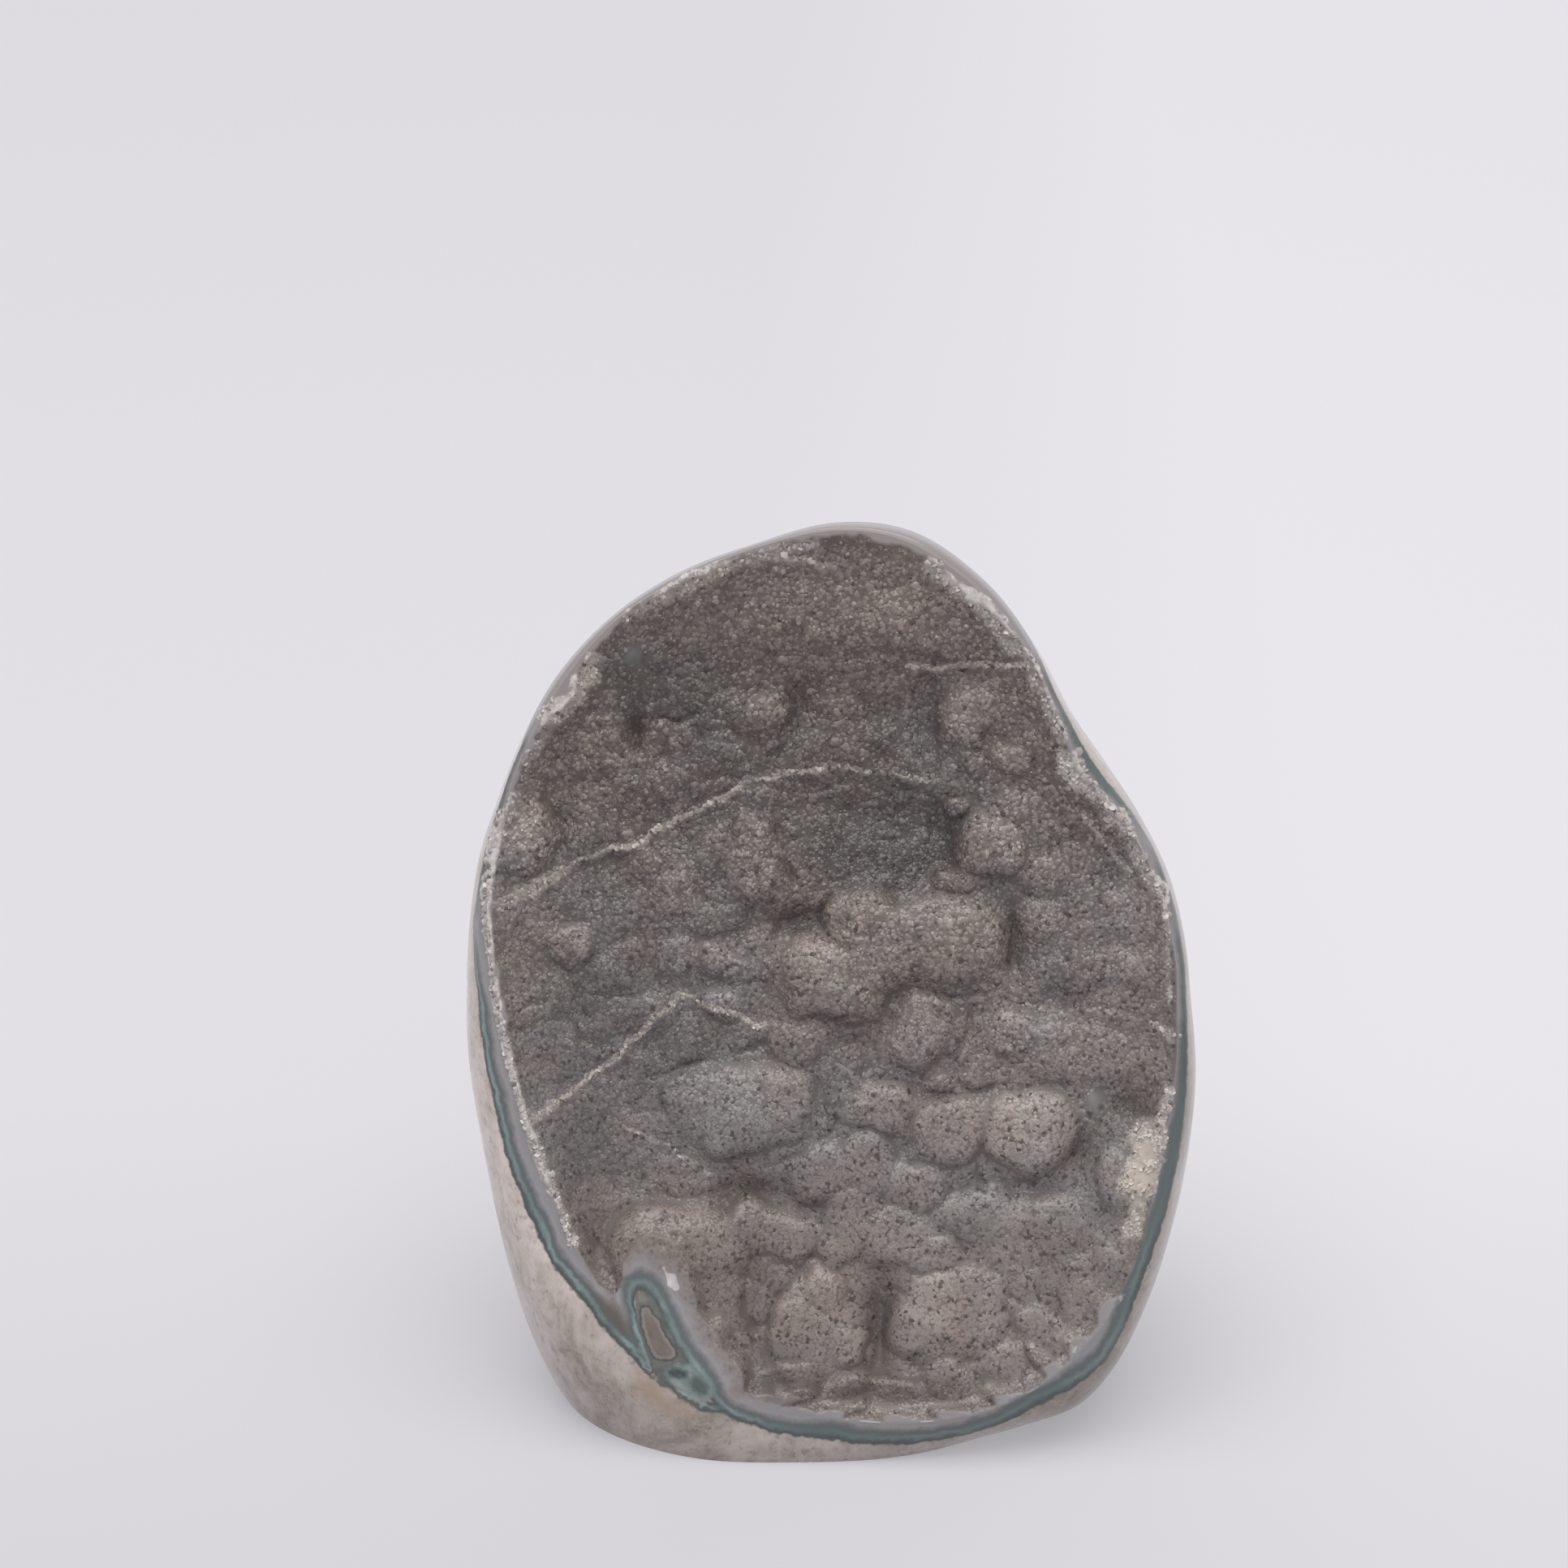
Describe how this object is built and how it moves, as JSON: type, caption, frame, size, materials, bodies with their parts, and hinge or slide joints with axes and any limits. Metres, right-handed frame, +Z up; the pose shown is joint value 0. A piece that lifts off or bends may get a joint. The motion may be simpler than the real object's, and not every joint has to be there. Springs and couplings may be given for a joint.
{
  "type": "botryoidal chalcedony specimen",
  "caption": "Free-standing mineral specimen: a lumpy, crystal-covered face inside a polished banded rim, with a flat sawn base.",
  "frame": {"origin": "centre of the bounding box, on the surface that the stone stands on", "axes": "+Z up from the sawn base, along the height; the crystal face looks towards -Y and leans back by 20 degrees"},
  "size_m": [0.1108, 0.0724, 0.1318],
  "materials": {
    "druse": "fine sparkling quartz crystals on grey-brown chalcedony",
    "chalcedony": "polished, translucent grey-lavender, with white broken crust",
    "teal_agate": "polished wavy teal band with dark edges",
    "wall_rock": "polished mottled beige-grey rock; sawn underneath"
  },
  "bodies": {
    "root": {"stone": "druse"}
  },
  "joints": []
}
